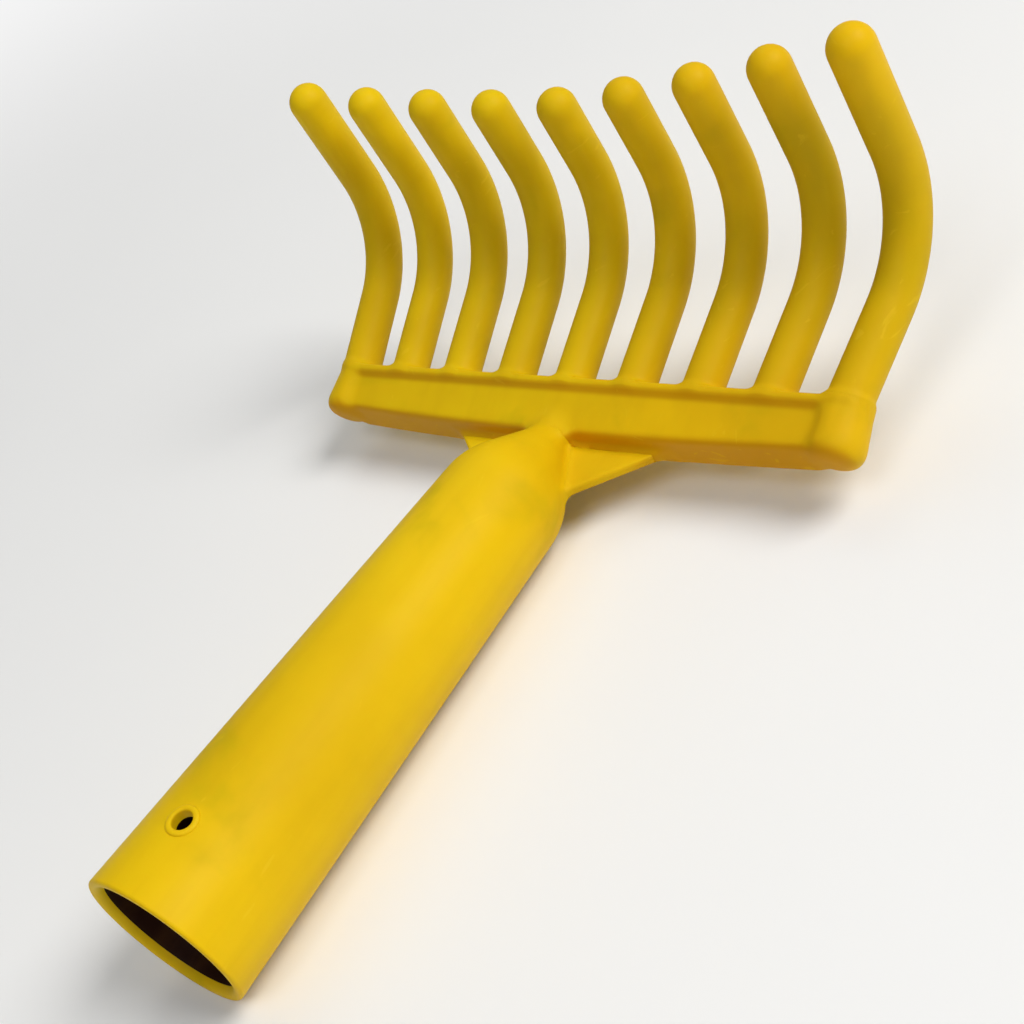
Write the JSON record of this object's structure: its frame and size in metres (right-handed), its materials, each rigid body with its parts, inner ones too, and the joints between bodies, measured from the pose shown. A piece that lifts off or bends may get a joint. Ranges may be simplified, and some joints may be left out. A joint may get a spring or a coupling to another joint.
{
  "type": "olive rake head",
  "caption": "Moulded rake head for combing olives off branches: curved round tines on a cross bar, with a tapered socket that takes a wooden pole.",
  "frame": {"origin": "centre of the pole socket's mouth, on the axis of its bore", "axes": "+Y along the socket to the tines, +Z the side that the tines curl to, X along the cross bar"},
  "size_m": [0.171, 0.1977, 0.0906],
  "materials": {
    "yellow_plastic": "satin moulded polyolefin"
  },
  "bodies": {
    "root": {"socket": "yellow_plastic", "head_bar": "yellow_plastic", "gusset_left": "yellow_plastic", "gusset_right": "yellow_plastic", "tine_1": "yellow_plastic", "tine_2": "yellow_plastic", "tine_3": "yellow_plastic", "tine_4": "yellow_plastic", "tine_5": "yellow_plastic", "tine_6": "yellow_plastic", "tine_7": "yellow_plastic", "tine_8": "yellow_plastic", "tine_9": "yellow_plastic"}
  },
  "joints": []
}
